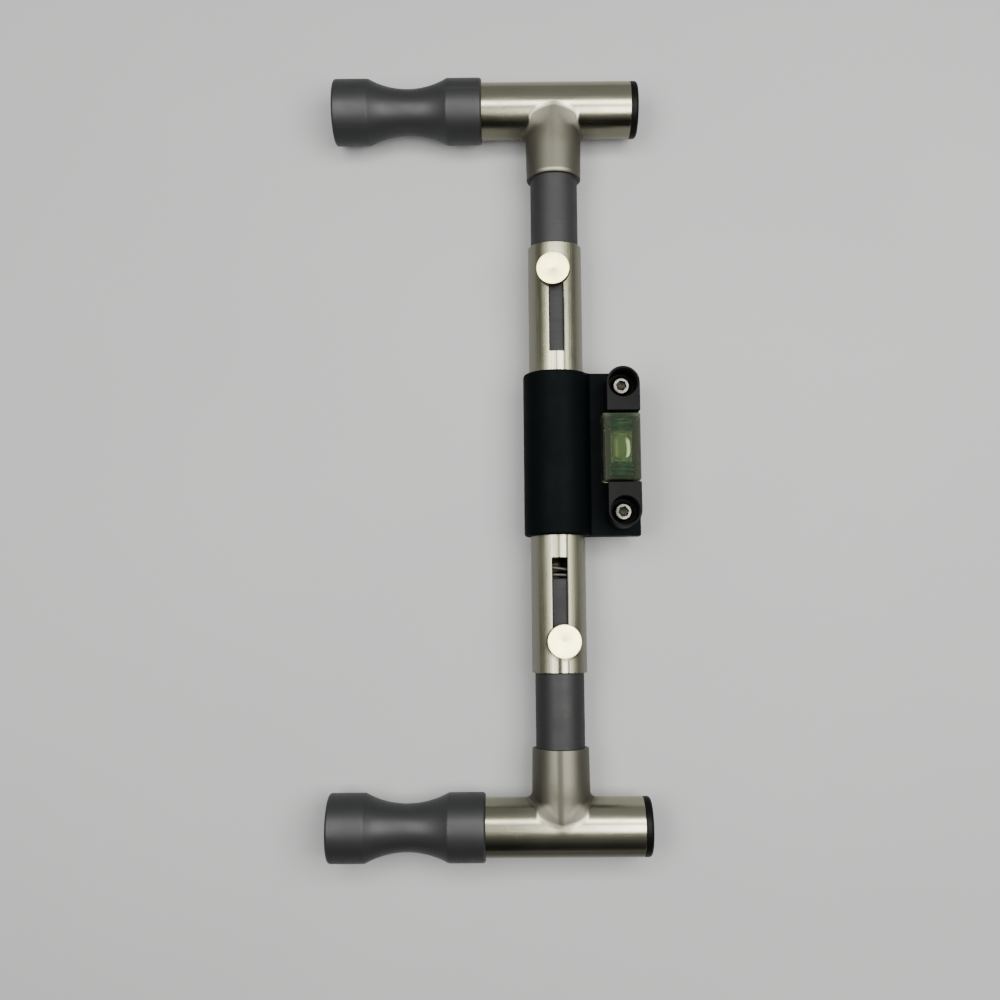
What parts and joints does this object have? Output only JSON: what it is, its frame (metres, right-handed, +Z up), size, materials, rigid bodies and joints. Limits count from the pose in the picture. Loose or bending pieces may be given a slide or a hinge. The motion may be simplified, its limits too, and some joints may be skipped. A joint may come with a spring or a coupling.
{
  "type": "steering wheel centering tool",
  "caption": "Telescoping steel bar with waisted end spools that brace inside a steering wheel rim, finger knobs in slots to draw it in, and a bubble vial clamped to its centre tube.",
  "frame": {"origin": "on the surface the tool lies on, under the middle of its outer box; the bar's axis is 32.7 mm to +X and 15.6 mm above it", "axes": "+Z up, out of the vial's window; +Y along the bar to the upper arm; -X the way the spools point, towards the dashboard in use"},
  "size_m": [0.1466, 0.3712, 0.0371],
  "materials": {
    "stainless_tube": "fine lengthwise polish",
    "stainless_tee": "polished",
    "knob_steel": "fine turned",
    "fastener_steel": "plain",
    "spring_wire": "drawn wire",
    "grey_plastic": "satin, turned",
    "black_plastic": "satin, moulded",
    "clear_acrylic": "clear",
    "vial_fluid": "clear green liquid",
    "vial_bubble": "air",
    "index_ink": "printed"
  },
  "bodies": {
    "barrel": {"center_tube": "stainless_tube", "compression_spring": "spring_wire", "vial_clamp": "black_plastic", "clamp_nuts": "fastener_steel", "vial_holder": "black_plastic", "vial_screws": "fastener_steel", "vial_block": "clear_acrylic", "vial_end_plug": "clear_acrylic", "vial_fluid": "vial_fluid", "vial_index_rings": "index_ink"},
    "bubble": {"vial_bubble": "vial_bubble"},
    "upper_arm": {"upper_rod": "grey_plastic", "upper_tee": "stainless_tee", "upper_spool": "grey_plastic", "upper_spool_bolt": "fastener_steel", "upper_bolt_washer": "fastener_steel", "upper_end_plug": "black_plastic", "upper_knob": "knob_steel"},
    "lower_arm": {"lower_rod": "grey_plastic", "lower_tee": "stainless_tee", "lower_spool": "grey_plastic", "lower_spool_bolt": "fastener_steel", "lower_bolt_washer": "fastener_steel", "lower_end_plug": "black_plastic", "lower_knob": "knob_steel"}
  },
  "joints": [
    {"name": "upper_slide", "type": "slide", "parent": "barrel", "child": "upper_arm", "axis": [0, -1, 0], "range_m": [0, 0.0335], "stiffness_N_per_m": 1500, "springref_m": -0.008, "deforming": ["compression_spring"]},
    {"name": "lower_slide", "type": "slide", "parent": "barrel", "child": "lower_arm", "axis": [0, 1, 0], "range_m": [0, 0.0335], "stiffness_N_per_m": 1500, "springref_m": -0.008, "deforming": ["compression_spring"]},
    {"name": "bubble_slide", "type": "slide", "parent": "barrel", "child": "bubble", "axis": [0, 1, 0], "range_m": [-0.006, 0.006], "stiffness_N_per_m": 0.5, "deforming": ["vial_fluid"]}
  ]
}
